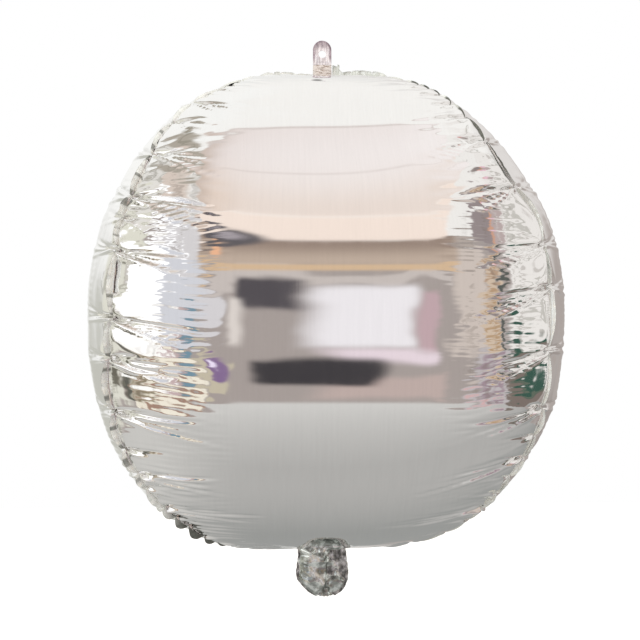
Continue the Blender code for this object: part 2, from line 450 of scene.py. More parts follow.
def settle(film, points):
    """Lets the gas press the film out, while it keeps its lengths and its overall shape."""
    areas = outward_areas(points)[:, ROWS // 2, 1:-1]
    force = np.float32(PRESSURE / np.linalg.norm(areas, axis=-1).mean())
    speed = np.zeros_like(points)
    for step in range(SETTLE_STEPS):
        before = points.copy()
        points = points + np.float32(0.95) * speed + force * outward_areas(points)
        film.keep_lengths(points)
        if step % 8 == 0:
            drift = blurred(blurred(film.smooth - points, 32, 1), 32, 1)
            points += np.float32(HOLD) * blurred(drift, 4, 2)
            film.hold_edges(points)
        speed = points - before
    return points


def fold_origins(panel, distance, tilts):
    """Place along the seam that each point's folds start from."""
    tilt = tilts[0] + tilts[1] * panel.seam_z / HALF_WIDTH
    return panel.along_seam[:, None] - tilt[:, None] * distance


def fold_fans(origin, distance, seam, near_pole, rng):
    """Each notch's main fold, with a weaker one that spreads away on either side."""
    field = np.zeros_like(distance)
    width = 0.0021 + 0.021 * distance
    for place, strength in zip(seam.stations, seam.strengths):
        reach = rng.uniform(*FOLD_REACH)
        depth = FOLD_DEPTH * rng.uniform(0.8, 1.2) * strength
        spreads = (0, rng.uniform(*FOLD_SPREAD), -rng.uniform(*FOLD_SPREAD))
        for spread, share in zip(spreads, (1, 0.5, 0.5)):
            length = reach * (0.6 + 0.4 * share) * near_pole
            fade = np.clip(1 - distance / length, 0, 1) * (1 - np.exp(-distance / 0.007))
            apart = origin - place - spread * distance
            valley = np.exp(-np.sqrt(apart ** 2 + 0.0006 ** 2) / width)
            shoulders = 0.4 * bell(apart / (2.8 * width))
            field -= depth * share * fade * (valley - shoulders)
    return field


def fold_lines(origin, distance, seam, rng):
    """Long thin creases that run in from each notch, two or three side by side."""
    field = np.zeros_like(distance)
    width = 0.0019 + 0.004 * distance
    for place, strength in zip(seam.stations, seam.strengths):
        strength = min(strength, MAIN_SHARE)
        reach = rng.uniform(*LINE_REACH) * (0.7 + 0.35 * strength)
        for spread in (rng.uniform(-0.02, 0.04), rng.uniform(0.08, 0.16), -rng.uniform(0.08, 0.16)):
            length = reach * rng.uniform(0.65, 1)
            fade = np.clip(1 - (distance / length) ** 2, 0, 1) * (1 - np.exp(-distance / 0.004))
            apart = origin - place - spread * distance
            depth = LINE_DEPTH * strength * fade
            field -= depth * bell(apart / width) * rng.uniform(0.6, 1)
            field += 0.5 * depth * bell(apart / width - 2.2)
    return field


def pucker_field(panel, seam, distance, spare, tilts, rng):
    """Height of the folds and fine puckers that run in from one seam, before the film settles."""
    height = panel.seam_z[:, None]
    origin = fold_origins(panel, distance, tilts)
    count = np.interp(origin, seam.ends, seam.comb_count(rng))
    middle = 1 - between(np.abs(height), 0.09, 0.15)
    toward_pole = height if seam.place == FRONT_RIGHT else np.abs(height)
    near_pole = 1 - 0.35 * between(toward_pole, 0.12, 0.2)
    start = seam.per_puff(COMB_START, origin, rng) + 0.032 * middle
    easing = (seam.per_puff(COMB_EASING, origin, rng) + 0.018 * middle) * near_pole
    last = easing + seam.per_puff(COMB_FADE, origin, rng)
    size = seam.per_puff(COMB_SIZES[seam.place], origin, rng)
    if seam.place == FRONT_LEFT:
        high_up = plateau(height, 0.09, 0.12, 0.2, 0.23)
        low_down = between(-height, 0.1, 0.13)
        level = 1 - between(np.abs(height), 0.045, 0.065)
        start = start * (1 - high_up) + 0.026 * level
        easing = easing * (1 - 0.3 * high_up)
        last = last * (1 - 0.3 * high_up)
        size = size * (1 + 0.8 * high_up + low_down + 0.7 * level)
    if seam.place == FRONT_RIGHT:
        start = start + 0.012 * between(-height, 0.045, 0.065)
        size = size * (1 - 0.85 * between(-height, 0.11, 0.14))
    window = smoothstep((distance - start) / 0.01) * (1 - between(distance, easing, last))
    crowding = np.maximum(np.abs(np.gradient(count, axis=0)), 1e-3)
    pitch = np.gradient(panel.along_seam)[:, None] / crowding
    size = size * pitch / math.pi * np.sqrt(spare + 0.004)
    comb = size * window * np.cos(2 * math.pi * count)
    return fold_fans(origin, distance, seam, near_pole, rng) - comb


def seam_sides(panel, seams):
    """Both edges of each panel: quarter, side, seam, distance from it, and where it is the nearer."""
    for quarter in range(4):
        for side, distance in enumerate((panel.from_left, panel.from_right)):
            near = distance <= 0.5 * (panel.from_left + panel.from_right)
            yield quarter, side, seams[(quarter + side) % 4], distance, near


def make_film(panel, seams, rng):
    """The four panels' points, puckered and settled: quarter, row, column, xyz."""
    film = Film(panel, seams)
    points = film.smooth.copy()
    normals = normals_of(film.smooth)
    length = np.linalg.norm(np.diff(film.smooth[0], axis=0), axis=-1)
    spare = np.clip(film.down[0] / length - 1, 0, None)
    spare = np.concatenate([spare, spare[-1:]], axis=0)
    for quarter, side, seam, distance, near in seam_sides(panel, seams):
        shift = seam.points - film.smooth[quarter][:, -side]
        follow = np.exp(-distance / 0.01) * near
        tilts = FOLD_TILTS[quarter][side]
        field = pucker_field(panel, seam, distance, spare, tilts, rng) * near
        points[quarter] += (shift[:, None] * follow[..., None]).astype(np.float32)
        points[quarter] += (field[..., None] * normals[quarter]).astype(np.float32)
    film.hold_edges(points)
    points = settle(film, points)
    calm = 1 - between(panel.from_seam, CALM_FROM, CALM_TO)
    shift = (points - film.smooth) * calm[None, ..., None].astype(np.float32)
    shift[:, 1:-1] = 0.25 * (shift[:, :-2] + shift[:, 2:]) + 0.5 * shift[:, 1:-1]
    shift[:, :, 1:-1] = 0.25 * (shift[:, :, :-2] + shift[:, :, 2:]) + 0.5 * shift[:, :, 1:-1]
    points = film.smooth + shift
    for quarter, side, seam, distance, near in seam_sides(panel, seams):
        origin = fold_origins(panel, distance, FOLD_TILTS[quarter][side])
        lines = fold_lines(origin, distance, seam, rng) * near * LINE_GAINS[quarter][side]
        points[quarter] += (lines[..., None] * normals[quarter]).astype(np.float32)
    return points


def swung(points):
    """Points turned a little round the axis, where the two front seams lean to the front."""
    x, y, z = np.moveaxis(points, -1, 0)
    azimuth = np.arctan2(y, x)
    turn = np.zeros_like(z)
    for angle, place, middle, high, wide in SWINGS:
        apart = (azimuth - place + math.pi) % (2 * math.pi) - math.pi
        turn = turn + angle * bell((z - middle) / high, apart / wide)
    cos = np.cos(turn)
    sin = np.sin(turn)
    return xyz(x * cos + y * sin, y * cos - x * sin, z)


def drawn_in(points):
    """Points pulled up where the tail draws the film in, and in at the small crease under the tab."""
    x, y, z = np.moveaxis(points, -1, 0)
    along = plateau(np.abs(y), 0.008, 0.04, 0.105, 0.17)
    across = 1 - between(np.abs(x - TAIL_SHIFT), 0.012, 0.027)
    rise = TAIL_DENT * along * across * (z < -0.15)
    beside = x - CREASE_PLACE[0]
    bow = y - CREASE_PLACE[1] + 12 * beside ** 2 + 0.12 * beside
    crease = bell(beside / CREASE_REACH, bow / 0.0024) * (z > 0.15)
    corner = bell((np.arctan2(y, x) + 0.25 * math.pi) / 0.42)
    corner = corner * between(-z, 0.09, 0.19) * between(np.hypot(x, y), 0.08, 0.15)
    moved = points.copy()
    moved[..., 2] += rise - CREASE_DEPTH * crease
    moved[..., :2] *= (1 - LOW_PULL * corner)[..., None]
    moved[..., 2] *= 1 - 0.4 * LOW_PULL * corner
    return swung(moved)


def double_columns(grid):
    """The grid with a column added between each two, on a smooth curve through four columns."""
    wide = np.pad(grid, ((0, 0), (1, 1), (0, 0)), "edge")
    result = np.repeat(grid, 2, axis=1)[:, :-1]
    result[:, 1::2] = (9 * (grid[:, :-1] + grid[:, 1:]) - wide[:, :-3] - wide[:, 3:]) / 16
    return result


def grid_faces(grid, flip=False, wrap=(0, 0)):
    """Vertex numbers of the quads of a grid of points, closed along each axis that wraps."""
    rows, columns = grid.shape[:2]
    index = np.arange(rows * columns).reshape(rows, columns)
    index = np.pad(index, ((0, wrap[0]), (0, wrap[1])), "wrap")
    corners = [index[:-1, :-1], index[:-1, 1:], index[1:, 1:], index[1:, :-1]]
    if flip:
        corners.reverse()
    return np.stack(corners, axis=-1).reshape(-1, 4)


def add_to_scene(name, data):
    item = bpy.data.objects.new(name, data)
    bpy.context.scene.collection.objects.link(item)
    return item


def mesh_object(name, points, faces, finish):
    """A smooth-shaded object from arrays of points and quads."""
    mesh = bpy.data.meshes.new(name)
    points = np.ascontiguousarray(points, dtype=np.float32).reshape(-1, 3)
    faces = np.ascontiguousarray(faces, dtype=np.int32)
    mesh.vertices.add(len(points))
    mesh.vertices.foreach_set("co", points.ravel())
    mesh.loops.add(faces.size)
    mesh.loops.foreach_set("vertex_index", faces.ravel())
    mesh.polygons.add(len(faces))
    mesh.polygons.foreach_set("loop_start", np.arange(0, faces.size, 4, dtype=np.int32))
    mesh.update(calc_edges=True)
    mesh.validate()
    mesh.shade_smooth()
    mesh.materials.append(finish)
    return add_to_scene(name, mesh)


def add_attribute(item, name, values, kind="FLOAT", field="value"):
    attribute = item.data.attributes.new(name, kind, "POINT")
    attribute.data.foreach_set(field, np.ascontiguousarray(values, dtype=np.float32).ravel())


def shell_object(name, grid, thickness, finish):
    """A closed thin shell on both sides of a grid of points."""
    half = 0.5 * thickness * normals_of(grid)
    rows, columns = grid.shape[:2]
    index = np.arange(rows * columns).reshape(rows, columns)
    border = np.concatenate([index[0, :-1], index[:-1, -1], index[-1, :0:-1], index[:0:-1, 0]])
    behind = np.roll(border, -1)
    far = rows * columns
    rim = np.stack([border, border + far, behind + far, behind], axis=-1)
    faces = [grid_faces(grid, True), grid_faces(grid) + far, rim]
    return mesh_object(name, np.stack([grid + half, grid - half]), np.concatenate(faces), finish)


def make_gores(points, panel, finish):
    down = np.repeat(panel.down[:, None], COLUMNS + 1, 1)
    place = double_columns(xyz(panel.across, down, panel.from_seam))
    for quarter, side in enumerate(QUARTERS):
        grid = double_columns(points[quarter])
        gore = mesh_object("foil_gore_" + side, grid, grid_faces(grid, True), finish)
        add_attribute(gore, "film_place", place, "FLOAT_VECTOR", "vector")
        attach(gore, "envelope")
        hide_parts("gore_" + side)


def strip_lean(seam, rng):
    """Angle that the strip leans to either side: its own in each puff, with fine ripples."""
    flat = seam.flat
    sizes = []
    for _ in seam.ends[1:]:
        side = -1 if seam.place == FRONT_LEFT else rng.choice([-1, 1])
        sizes.append(side * rng.uniform(0.5, 1.1))
    lean = np.array(sizes)[seam.puff] * np.sin(math.pi * seam.share)
    ripple = np.zeros_like(flat)
    for pitch, size in STRIP_RIPPLES:
        bend = np.cumsum(rng.normal(0, 0.05, len(flat)))
        ripple += size * np.sin(2 * math.pi * flat / pitch + bend)
    frill = 1 - between(flat, 0.05, 0.1)
    return 0.85 * lean * (1 - 0.8 * frill) + ripple * (1 + 1.2 * frill)


def strip_width(seam):
    """Width of the strip: a lens in each puff, wider near the top and narrow at both poles."""
    flat = seam.flat
    height = seam.height
    left = seam.place == FRONT_LEFT
    swell = np.sin(math.pi * np.clip(seam.share, 0, 1))
    lens = 0.22 + 0.78 * swell ** 0.7
    if left:
        low = between(-height, 0.215, 0.232)
        beads = swell ** 1.3 * low * (1.15 - 0.95 * between(-height, 0.243, 0.279))
        lens = lens * (1 - low) + beads
    even = between(height, 0.235, 0.255) * (1 if left else 0.4)
    lens = lens * (1 - even) + 0.4 * even
    frill = FRILL_WIDTHS[seam.place] * (1 - between(flat, 0.06, 0.112))
    if seam.place == FRONT_RIGHT:
        frill = frill + 0.013 * (1 - between(flat, 0.006, 0.016))
    high_up = 1 - 0.4 * between(height, 0.13, 0.17)
    width = STRIP_WIDTHS[seam.place] * lens * high_up + frill
    low_down = 1 - STRIP_NARROWING[seam.place] * between(-height, 0.2, 0.235)
    return width * low_down * (0.3 + 0.7 * between(flat[-1] - flat, 0, 0.04))


def strip_shade(seam, rng):
    """How much painted shade and dark reflection each place along a strip gets."""
    flat = seam.flat
    height = seam.height
    if seam.place == FRONT_LEFT:
        low = 1 - between(height, -0.235, -0.205)
        wave = np.sin(flat / 0.0029 + 2.2 * np.sin(flat / 0.0113)) * np.sin(flat / 0.0067)
        marks = between(wave, 0.25, 0.6) * plateau(height, -0.19, -0.16, 0.2, 0.23)
        return np.maximum(low, 0.75 * marks)
    if seam.place == FRONT_RIGHT:
        part = np.maximum(between(seam.share, 0.35, 0.5), 1 - between(height, 0.215, 0.235))
        ticks = part * plateau(height, 0.125, 0.16, 0.272, 0.28)
        return ticks + 0.25 * rng.uniform(0.3, 1, len(height)) * between(height, 0.28, 0.285)
    return seam.per_puff((0, 0.7), flat, rng)


def make_seam_strip(seam, rng, finish):
    """Sealed edge of the film that stands out from the seam, drawn in at each notch."""
    step = (strip_width(seam) / STRIP_COLUMNS)[:, None]
    angle = strip_lean(seam, rng)[:, None] * np.linspace(0, 1, STRIP_COLUMNS + 1)
    out = running(np.cos(angle[:, 1:]) * step)
    aside = running(np.sin(angle[:, 1:]) * step)
    grid = seam.points[:, None] + (out - 0.0005)[..., None] * seam.outward[:, None]
    grid = drawn_in(grid + aside[..., None] * seam.sideways)
    side = SEAM_NAMES[seam.place]
    strip = shell_object("seam_strip_" + side, grid, STRIP_FILM, finish)
    # Painted shade and dark reflections of the strip, the same on both of its faces
    shade = np.repeat(strip_shade(seam, rng)[:, None], STRIP_COLUMNS + 1, 1)
    add_attribute(strip, "painted_strip_shade", np.stack([shade, shade]))
    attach(strip, "envelope")
    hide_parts("seam_" + side)


def creases(across, down, rng, count, span, reach, size):
    """Crumple of many short straight creases, each a V that fades round its middle."""
    height = np.zeros_like(across)
    for _ in range(count):
        x = across - rng.uniform(-span[0], span[0])
        z = down - rng.uniform(0, span[1])
        angle = rng.uniform(0, math.pi)
        extent = reach * rng.uniform(0.6, 1.3)
        apart = np.abs(x * math.cos(angle) + z * math.sin(angle))
        height += size * rng.normal() * apart * bell(x / extent, z / extent)
    return height


def make_tail_ply(name, node, side, rng, finish):
    """One crumpled ply of the tail, sealed to the other along both edges and open at the foot."""
    stations, widths, bulges = np.array(TAIL_STATIONS).T
    depth = np.linspace(stations[0], stations[-1], 130)
    half = blurred(np.interp(depth, stations, widths), 5, 0)
    half = half + 0.0006 * np.sin(depth / 0.0041) * np.sin(depth / 0.0023 + side)
    bulge = blurred(np.interp(depth, stations, bulges), 7, 0)
    share = np.linspace(-1, 1, 120)
    swell = np.sqrt(1 - np.clip((np.abs(share) - 0.3) / 0.6, 0, 1) ** 2)
    x = half[:, None] * share
    down = np.repeat(depth[:, None], len(share), 1)
    calm = 1 - 0.75 * bell((x - 0.008) / 0.009, (down - 0.014) / 0.011)
    crumple = creases(x, down, rng, 34, (0.03, 0.062), 0.013, 0.34)
    crumple += creases(x, down, rng, 60, (0.031, 0.062), 0.006, 0.32) * calm
    ridge = x - 0.001 - 0.005 * np.sin(down / 0.016)
    overlap = 0.0016 * between(ridge, -0.0012, 0.0006) * between(down, 0.006, 0.018)
    fade = np.minimum(1, (1 - np.abs(share)) / 0.12) * between(down, -0.001, 0.006)
    y = -0.0004 - bulge[:, None] * swell + (crumple + overlap) * fade
    y = np.minimum(y, -0.0003) * -side
    foot = 0.0007 * np.sin(5 * share + 2 * side) + 0.0004 * np.sin(17 * share)
    z = TAIL_TOP - down + foot * between(down, 0.045, 0.06)
    x = x + TAIL_SHIFT + 0.001 * between(down, 0, 0.01) + 0.0032 * between(down, 0.036, 0.058)
    ply = shell_object(name, xyz(x, y, z)[:, ::-side], TAIL_FILM, finish)
    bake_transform(ply)
    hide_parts(node)


def make_tail_neck(points, finish):
    """Gathered film from the ring of the four panels' lower ends down to the tail."""
    ring = np.concatenate([points[quarter][-1, :-1] for quarter in range(4)])
    angle = np.unwrap(np.arctan2(ring[:, 1], ring[:, 0]))
    share = np.linspace(0, 1, 26)
    target_z = TAIL_TOP + 0.0012
    cos = np.cos(angle)
    sin = np.sin(angle)
    target_x = TAIL_SHIFT + NECK_HALF_WIDTH * powered(cos, 0.8)
    target = xyz(target_x, NECK_HALF_DEPTH * sin, np.full_like(cos, target_z))
    ease = smoothstep(share)[:, None, None]
    drop = (share ** 1.6)[:, None]
    grid = ring[None] * (1 - ease) + target[None] * ease
    grid[..., 2] = ring[None, :, 2] * (1 - drop) + target_z * drop
    pleat = 0.001 * np.sin(11 * angle + 0.9) + 0.0007 * np.sin(23 * angle)
    swell = (pleat[None] * (4 * share * (1 - share))[:, None])[..., None]
    grid = grid + swell * xyz(cos, sin, np.zeros_like(cos))
    neck = mesh_object("tail_neck_film", grid, grid_faces(grid, True, (0, 1)), finish)
    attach(neck, "envelope")
    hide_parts("tail_neck")


def make_gather(rng, finish):
    """Folded film at the top: a crumpled block that flattens towards the tab."""
    low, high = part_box("top_gather")
    share = np.linspace(0, 1, 40)[:, None]
    angle = np.linspace(0, 2 * math.pi, 120, endpoint=False)
    levels = (0, 0.25, 0.6, 1)
    half_x = np.interp(share, levels, (high.x, 0.0128, 0.0122, 0.012))
    half_y = np.interp(share, levels, (high.y, 0.01, 0.0058, 0.002))
    sin = np.sin(angle)
    x = half_x * powered(np.cos(angle), 0.55)
    z = np.repeat(low.z + (high.z - low.z) * share, len(angle), 1)
    up = z - low.z
    crumple = creases(x, up, rng, 22, (0.012, high.z - low.z), 0.006, 0.35)
    ridge = 0.0006 * np.sin(2 * math.pi * up / 0.0052 + 2 * x / 0.012)
    fade = np.sin(math.pi * share) ** 0.5
    y = half_y * powered(sin, 0.75) + sin * (crumple + ridge) * fade
    grid = xyz(x, y, z)
    gather = mesh_object("gather_film", grid, grid_faces(grid, False, (0, 1)), finish)
    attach(gather, "envelope")
    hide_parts("top_gather")


def make_tab(rng, finish):
    """Film tab with a round top and a punched hole, its rim sealed a little thicker."""
    low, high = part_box("hang_tab")
    fold = low.z + 0.0009
    radius = 0.5 * TAB_WIDTH
    hole_z = fold + 0.013
    angle = np.linspace(0, 2 * math.pi, 168, endpoint=False)
    cos = np.cos(angle)
    sin = np.sin(angle)
    offset = high.z - radius - hole_z
    reach_side = radius / np.maximum(np.abs(cos), 1e-6)
    reach_down = (hole_z - fold + 0.001) / np.maximum(-sin, 1e-6)
    reach_top = offset * sin + np.sqrt(np.maximum(radius ** 2 - (offset * cos) ** 2, 0))
    reach_low = np.where(sin < 0, np.minimum(reach_side, reach_down), reach_side)
    outer = np.where(reach_side * sin < offset, reach_low, reach_top)
    share = np.linspace(0, 1, 22)[:, None]
    distance = TAB_HOLE + (outer - TAB_HOLE) * share
    x = distance * cos
    z = hole_z + distance * sin
    rim = between(distance, outer - TAB_RIM, outer - 0.4 * TAB_RIM)
    lip = 1 - between(distance, TAB_HOLE, TAB_HOLE + 0.0012)
    half = 0.5 * TAB_FILM * (1 + 0.9 * rim + 0.6 * lip) * (1 - 0.8 * share ** 24)
    bowl = 0.0011 * (x / radius) ** 2 * between(z, fold, fold + 0.01)
    crumple = creases(x, z - fold, rng, 16, (0.011, 0.028), 0.006, 0.12)
    middle = 0.0016 * between(z, fold + 0.004, high.z) + bowl + crumple * between(z, fold, fold + 0.004)
    loop = np.concatenate([xyz(x, middle - half, z), xyz(x, middle + half, z)[::-1]])
    tab = mesh_object("tab_film", loop, grid_faces(loop, False, (1, 1)), finish)
    shade = between(distance, outer - 0.0058, outer - 0.0008) * between(z, fold - 0.001, fold + 0.01)
    shade = np.maximum(shade, 0.7 * between(z, hole_z + 0.003, high.z - 0.004))
    add_attribute(tab, "rim", np.concatenate([shade, shade[::-1]]))
    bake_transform(tab)
    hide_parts("hang_tab")


class Nodes:
    """Short helpers for one node tree. Colours are given as three numbers."""

    def __init__(self, tree):
        self.tree = tree
        tree.nodes.clear()

    def add(self, kind, **settings):
        node = self.tree.nodes.new(kind)
        for name, value in settings.items():
            setattr(node, name, value)
        return node

    def feed(self, socket, value):
        if isinstance(value, bpy.types.NodeSocket):
            self.tree.links.new(value, socket)
        elif socket.type == "RGBA":
            socket.default_value = (*value, 1)
        else:
            socket.default_value = value

    def filled(self, kind, values, **settings):
        """A new node with its inputs fed in order, or by name."""
        node = self.add(kind, **settings)
        named = values if isinstance(values, dict) else dict(enumerate(values))
        for name, value in named.items():
            self.feed(node.inputs[name], value)
        return node

    def math(self, operation, *values):
        return self.filled("ShaderNodeMath", values, operation=operation).outputs[0]

    def times(self, first, *others):
        for other in others:
            first = self.math("MULTIPLY", first, other)
        return first

    def vector(self, operation, *values):
        return self.filled("ShaderNodeVectorMath", values, operation=operation).outputs[0]

    def ramp(self, value, low, high, start=0, end=1, kind="SMOOTHSTEP"):
        # A smooth step stays in its range by itself, and the clamp would cost one more node
        values = (value, low, high, start, end)
        clamp = kind == "LINEAR"
        return self.filled("ShaderNodeMapRange", values, interpolation_type=kind, clamp=clamp).outputs[0]

    def mix(self, share, first, second):
        values = {0: share, 6: first, 7: second}
        return self.filled("ShaderNodeMix", values, data_type="RGBA").outputs[2]

    def split(self, vector):
        return self.filled("ShaderNodeSeparateXYZ", (vector,)).outputs

    def noise(self, vector, scale, detail=2, roughness=0.5):
        if isinstance(scale, tuple):
            vector = self.vector("MULTIPLY", vector, scale)
            scale = 1
        values = {"Vector": vector, "Scale": scale, "Detail": detail, "Roughness": roughness}
        return self.filled("ShaderNodeTexNoise", values).outputs["Fac"]

    def oval(self, x, y, middle, size):
        """Squared distance from the middle of an oval, 1 on its edge."""
        x = self.math("DIVIDE", self.math("SUBTRACT", x, middle[0]), size[0])
        y = self.math("DIVIDE", self.math("SUBTRACT", y, middle[1]), size[1])
        return self.math("MULTIPLY_ADD", x, x, self.times(y, y))


class Finish(Nodes):
    """A new material with one shader."""

    def __init__(self, name):
        self.material = bpy.data.materials.new(name)
        self.material.use_nodes = True
        super().__init__(self.material.node_tree)
        self.shader = self.add("ShaderNodeBsdfPrincipled")
        self.filled("ShaderNodeOutputMaterial", (self.shader.outputs[0],))
        self.place = self.add("ShaderNodeTexCoord").outputs["Object"]

    def attribute(self, name, output="Fac"):
        return self.add("ShaderNodeAttribute", attribute_name=name).outputs[output]

    def bump(self, height, distance, strength=1):
        values = {"Strength": strength, "Distance": distance, "Height": height}
        return self.filled("ShaderNodeBump", values).outputs[0]

    def gloss(self, value, low, high):
        """Roughness that changes with a noise."""
        return self.ramp(value, 0.3, 0.7, low, high, "LINEAR")

    def shaded(self, *values):
        """The material, once its colour, metallic share, roughness and normal are fed."""
        for name, value in zip(("Base Color", "Metallic", "Roughness", "Normal"), values):
            self.feed(self.shader.inputs[name], value)
        return self.material


def mirror_finish():
    """Metallised film: faint lines down the film, small ripples at the seams, slight haze, and painted
    shade in the small crease below the tab.
    """
    foil = Finish("mirror_foil")
    place = foil.attribute("film_place", "Vector")
    near = foil.ramp(foil.split(place)[2], 0, 0.014, 1, 0)
    lines = foil.noise(place, (900, 14, 0), 3)
    haze = foil.noise(place, (60, 18, 0), 4)
    fine = foil.noise(place, (110, 620, 0), 2)
    streaks = foil.noise(place, (330, 14, 0), 4, 0.7)
    x, y, z = foil.split(foil.place)
    # Painted shade: the colour is dimmed in an oval round the small crease below the tab, only high on
    # the balloon
    crease = foil.oval(x, y, CREASE_PLACE, (CREASE_REACH, 0.006))
    shade = foil.times(foil.ramp(crease, 0, 1, 0.7, 0), foil.ramp(z, 0.1, 0.2))
    dimming = foil.ramp(streaks, 0.3, 0.7, 0.972, 1, "LINEAR")
    dimming = foil.times(dimming, foil.math("SUBTRACT", 1, shade))
    colour = foil.vector("SCALE", foil.mix(haze, (0.905, 0.9, 0.895), (0.945, 0.94, 0.935)))
    foil.feed(colour.node.inputs["Scale"], dimming)
    normal = foil.bump(foil.times(fine, near), 0.00015)
    foil.feed(normal.node.inputs["Normal"], foil.bump(lines, 0.000002))
    return foil.shaded(colour, 1, foil.gloss(haze, 0.035, 0.065), normal)


def tab_finish():
    """Clear film over foil: pale in the middle, purple grey at the sealed rim."""
    film = Finish("tab_film")
    folds = film.noise(film.place, (420, 200, 70), 3)
    tone = film.ramp(folds, 0.35, 0.65)
    pale = film.mix(tone, (0.6, 0.55, 0.57), (0.96, 0.93, 0.94))
    deep = film.mix(tone, (0.2, 0.15, 0.18), (0.42, 0.34, 0.38))
    colour = film.mix(film.attribute("rim"), pale, deep)
    return film.shaded(colour, 0.2, film.gloss(folds, 0.08, 0.2), film.bump(folds, 0.0003))


def gather_finish():
    """Pleated film under the tab: beige as a painted reflection, with thin brown lines of painted shade
    in the pleats' hollows.
    """
    film = Finish("gather_film")
    pleats = film.noise(film.place, (160, 160, 900), 3)
    # Painted reflection and shade: beige foil, dark brown where the pleats' bump is low
    colour = film.mix(film.ramp(pleats, 0.36, 0.5), (0.34, 0.26, 0.21), (0.7, 0.645, 0.6))
    return film.shaded(colour, 0.1, film.gloss(pleats, 0.14, 0.3), film.bump(pleats, 0.0004))


def crumple_finish():
    """Crumpled foil of the tail: small facets, grey as painted dark reflection, lighter in a painted
    highlight at the upper left and in random painted highlight patches.
    """
    foil = Finish("tail_foil")
    x, _, z = foil.split(foil.place)
    # Painted highlight: lighter colour in a patch at the upper left of the tail and in random patches of
    # noise, on a grey that stands for dark reflections
    painted_highlight_x = foil.ramp(foil.math("ABSOLUTE", foil.math("ADD", x, 0.013)), 0.003, 0.014, 0.2, 0)
    painted_highlight_z = foil.ramp(foil.math("ABSOLUTE", foil.math("ADD", z, 0.319)), 0.005, 0.017, 1, 0)
    cloud = foil.math("MULTIPLY_ADD", painted_highlight_x, painted_highlight_z, foil.noise(foil.place, 85, 3))
    values = {"Vector": foil.vector("MULTIPLY", foil.place, (1, 1, 0.6)), "Scale": 210}
    cells = foil.filled("ShaderNodeTexVoronoi", values, feature="SMOOTH_F1")
    colour = foil.mix(foil.ramp(cloud, 0.44, 0.64), (0.365, 0.385, 0.365), (0.87, 0.91, 0.885))
    normal = foil.bump(cells.outputs["Distance"], 0.0012, 0.4)
    return foil.shaded(colour, 1, foil.gloss(cloud, 0.12, 0.24), normal)


def strip_finish():
    """Sealed edge: pale foil, mixed towards near black by painted shade and dark reflections along the
    strip.
    """
    foil = Finish("seam_foil")
    grain = foil.noise(foil.place, 240, 3)
    pale = foil.mix(grain, (0.79, 0.82, 0.77), (0.92, 0.95, 0.91))
    deep = foil.mix(grain, (0.06, 0.065, 0.055), (0.24, 0.25, 0.22))
    # Painted shade and dark reflections: the strip's attribute mixes the pale foil towards the deep
    # colour
    colour = foil.mix(foil.attribute("painted_strip_shade"), pale, deep)
    return foil.shaded(colour, 0.35, foil.gloss(grain, 0.1, 0.24), foil.bump(grain, 0.00015))


